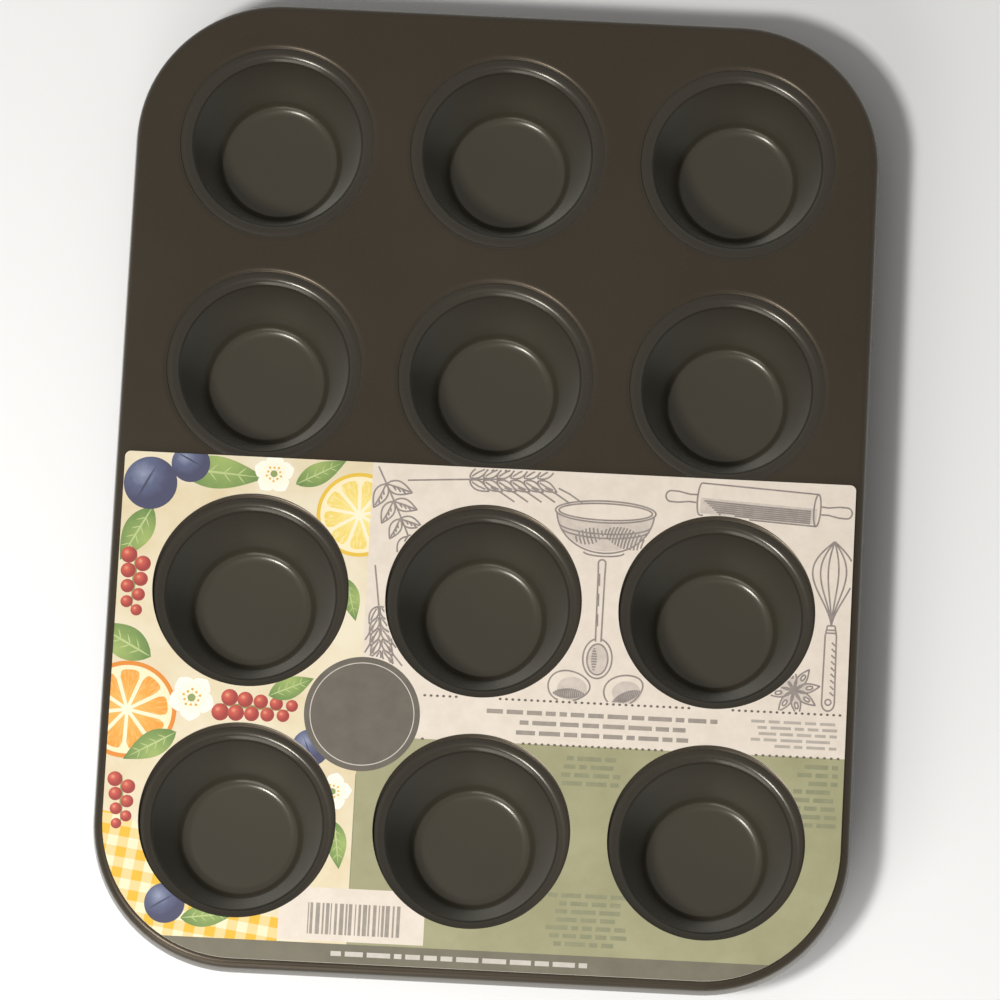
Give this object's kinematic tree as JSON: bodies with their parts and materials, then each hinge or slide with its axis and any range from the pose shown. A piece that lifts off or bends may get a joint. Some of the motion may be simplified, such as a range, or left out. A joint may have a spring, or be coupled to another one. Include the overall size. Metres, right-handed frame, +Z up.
{
  "type": "mini muffin tin",
  "caption": "Rectangular muffin tin with small tapered cups seated in a skirted deck with a wired edge, and a printed sales card over half of the deck.",
  "frame": {"origin": "on the surface that the tin stands on, below the middle of the deck", "axes": "+X across the rows of cups, +Y along the columns from the carded half to the bare half, +Z up"},
  "size_m": [0.2022, 0.2658, 0.0251],
  "materials": {
    "deck_coating": "satin dark non-stick coating on steel sheet",
    "cup_coating": "satin dark non-stick coating on drawn steel",
    "wire_steel": "plain drawn steel wire",
    "card_stock": "printed card with a light sheen",
    "card_glue": "clear soft removable glue"
  },
  "bodies": {
    "tin": {"deck_sheet": "deck_coating", "rim_wire": "wire_steel", "cup_r1c1": "cup_coating", "cup_r1c2": "cup_coating", "cup_r1c3": "cup_coating", "cup_r2c1": "cup_coating", "cup_r2c2": "cup_coating", "cup_r2c3": "cup_coating", "cup_r3c1": "cup_coating", "cup_r3c2": "cup_coating", "cup_r3c3": "cup_coating", "cup_r4c1": "cup_coating", "cup_r4c2": "cup_coating", "cup_r4c3": "cup_coating"},
    "card": {"card_insert": "card_stock", "glue_dot_1": "card_glue", "glue_dot_2": "card_glue", "glue_dot_3": "card_glue", "glue_dot_4": "card_glue", "glue_dot_5": "card_glue", "glue_dot_6": "card_glue"}
  },
  "joints": [
    {"name": "card_lift", "type": "slide", "parent": "tin", "child": "card", "axis": [0, 0, 1], "range_m": [0, 0.06]}
  ]
}
